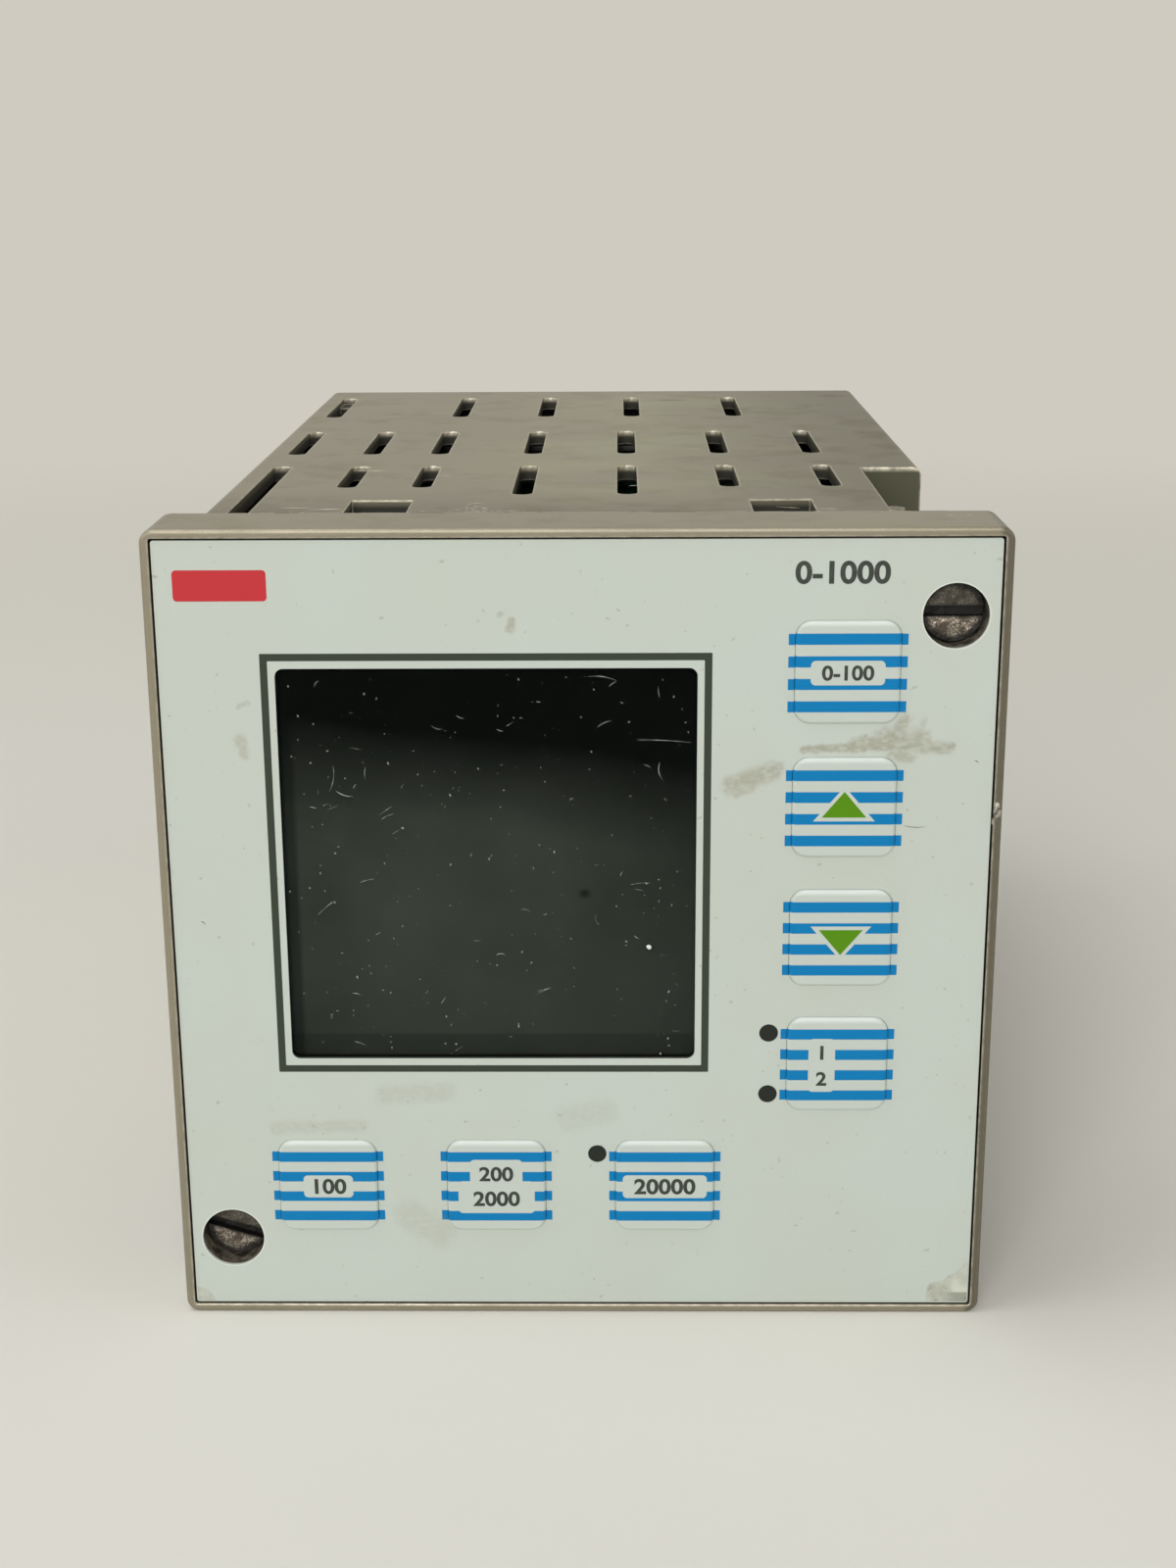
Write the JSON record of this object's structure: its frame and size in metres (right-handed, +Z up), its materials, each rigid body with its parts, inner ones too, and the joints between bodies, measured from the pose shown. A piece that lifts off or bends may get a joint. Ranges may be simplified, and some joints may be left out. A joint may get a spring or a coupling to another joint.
{
  "type": "panel-mount process and temperature controller",
  "caption": "Square panel-mount process and temperature controller: flanged vented case, plug-in unit with display window, striped foil keys, indicators and captive screws.",
  "frame": {"origin": "centre of the plane where the back of the bezel meets the panel, on the axis of the square case", "axes": "+X right as the user sees the front, +Y to the rear along the case, +Z up"},
  "size_m": [0.096, 0.16, 0.096],
  "materials": {
    "case_moulding": "moulded plastic with a warm nickel metallised finish, satin, scuffed",
    "seal_rubber": "black cellular rubber",
    "brass_insert": "turned brass",
    "black_moulding": "black glass-filled plastic",
    "zinc_steel": "zinc-plated steel",
    "circuit_board": "green solder mask",
    "connector_grey": "light grey moulded plastic",
    "terminal_grey": "grey-green moulded plastic",
    "printed_foil": "printed polyester foil, satin, stained",
    "key_foil": "embossed printed polyester foil",
    "clear_pane": "clear polyester window, scratched",
    "display_cell": "dark liquid crystal cell, switched off",
    "light_guide": "white light guide",
    "tinned_steel": "stamped tinned steel",
    "dark_lens": "dark tinted light guide",
    "lamp_resin": "lamp resin",
    "spring_steel": "spring steel",
    "chip_resin": "black moulding resin",
    "relay_plastic": "blue relay housing",
    "core_steel": "varnished laminations",
    "winding_copper": "taped copper winding",
    "can_aluminium": "aluminium can in dark sleeve",
    "worn_steel": "tarnished slotted steel screw"
  },
  "bodies": {
    "case": {"case_shell": "case_moulding", "panel_gasket": "seal_rubber", "screw_inserts": "brass_insert", "rear_panel": "black_moulding", "rear_panel_screws": "zinc_steel", "backplane_board": "circuit_board", "backplane_sockets": "connector_grey", "terminal_block_left": "terminal_grey", "terminal_block_middle": "terminal_grey", "terminal_block_mains": "terminal_grey", "terminal_screws": "zinc_steel", "option_cover": "black_moulding", "option_cover_screws": "zinc_steel", "earth_screw": "brass_insert"},
    "plug_in_unit": {"front_plate": "black_moulding", "front_overlay": "printed_foil", "display_window": "clear_pane", "display_glass": "display_cell", "display_backlight": "light_guide", "display_frame": "tinned_steel", "indicator_lenses": "dark_lens", "indicator_leds": "lamp_resin", "keypad_board": "circuit_board", "key_domes": "spring_steel", "main_board": "circuit_board", "io_board": "circuit_board", "power_board": "circuit_board", "board_headers": "connector_grey", "main_board_chips": "chip_resin", "output_relays": "relay_plastic", "transformer_core": "core_steel", "transformer_winding": "winding_copper", "smoothing_capacitors": "can_aluminium", "board_spacer": "black_moulding"},
    "key_setpoint": {"key_setpoint": "key_foil"},
    "key_raise": {"key_raise": "key_foil"},
    "key_lower": {"key_lower": "key_foil"},
    "key_manual_auto": {"key_manual_auto": "key_foil"},
    "key_indication": {"key_indication": "key_foil"},
    "key_escape": {"key_escape": "key_foil"},
    "key_confirm": {"key_confirm": "key_foil"},
    "front_screw_upper": {"front_screw_upper": "worn_steel", "retaining_ring_upper": "spring_steel"},
    "front_screw_lower": {"front_screw_lower": "worn_steel", "retaining_ring_lower": "spring_steel"}
  },
  "joints": [
    {"name": "unit_slide", "type": "slide", "parent": "case", "child": "plug_in_unit", "axis": [0, -1, 0], "range_m": [0, 0.15]},
    {"name": "key_setpoint_press", "type": "slide", "parent": "plug_in_unit", "child": "key_setpoint", "axis": [0, 1, 0], "range_m": [0, 0.0005], "stiffness_N_per_m": 3000, "springref_m": -0.0002},
    {"name": "key_raise_press", "type": "slide", "parent": "plug_in_unit", "child": "key_raise", "axis": [0, 1, 0], "range_m": [0, 0.0005], "stiffness_N_per_m": 3000, "springref_m": -0.0002},
    {"name": "key_lower_press", "type": "slide", "parent": "plug_in_unit", "child": "key_lower", "axis": [0, 1, 0], "range_m": [0, 0.0005], "stiffness_N_per_m": 3000, "springref_m": -0.0002},
    {"name": "key_manual_auto_press", "type": "slide", "parent": "plug_in_unit", "child": "key_manual_auto", "axis": [0, 1, 0], "range_m": [0, 0.0005], "stiffness_N_per_m": 3000, "springref_m": -0.0002},
    {"name": "key_indication_press", "type": "slide", "parent": "plug_in_unit", "child": "key_indication", "axis": [0, 1, 0], "range_m": [0, 0.0005], "stiffness_N_per_m": 3000, "springref_m": -0.0002},
    {"name": "key_escape_press", "type": "slide", "parent": "plug_in_unit", "child": "key_escape", "axis": [0, 1, 0], "range_m": [0, 0.0005], "stiffness_N_per_m": 3000, "springref_m": -0.0002},
    {"name": "key_confirm_press", "type": "slide", "parent": "plug_in_unit", "child": "key_confirm", "axis": [0, 1, 0], "range_m": [0, 0.0005], "stiffness_N_per_m": 3000, "springref_m": -0.0002},
    {"name": "front_screw_upper_turn", "type": "hinge", "parent": "plug_in_unit", "child": "front_screw_upper", "pos_m": [0.0419, -0.004, 0.0381], "axis": [0, 1, 0], "continuous": true},
    {"name": "front_screw_lower_turn", "type": "hinge", "parent": "plug_in_unit", "child": "front_screw_lower", "pos_m": [-0.0419, -0.004, -0.0381], "axis": [0, 1, 0], "continuous": true}
  ]
}
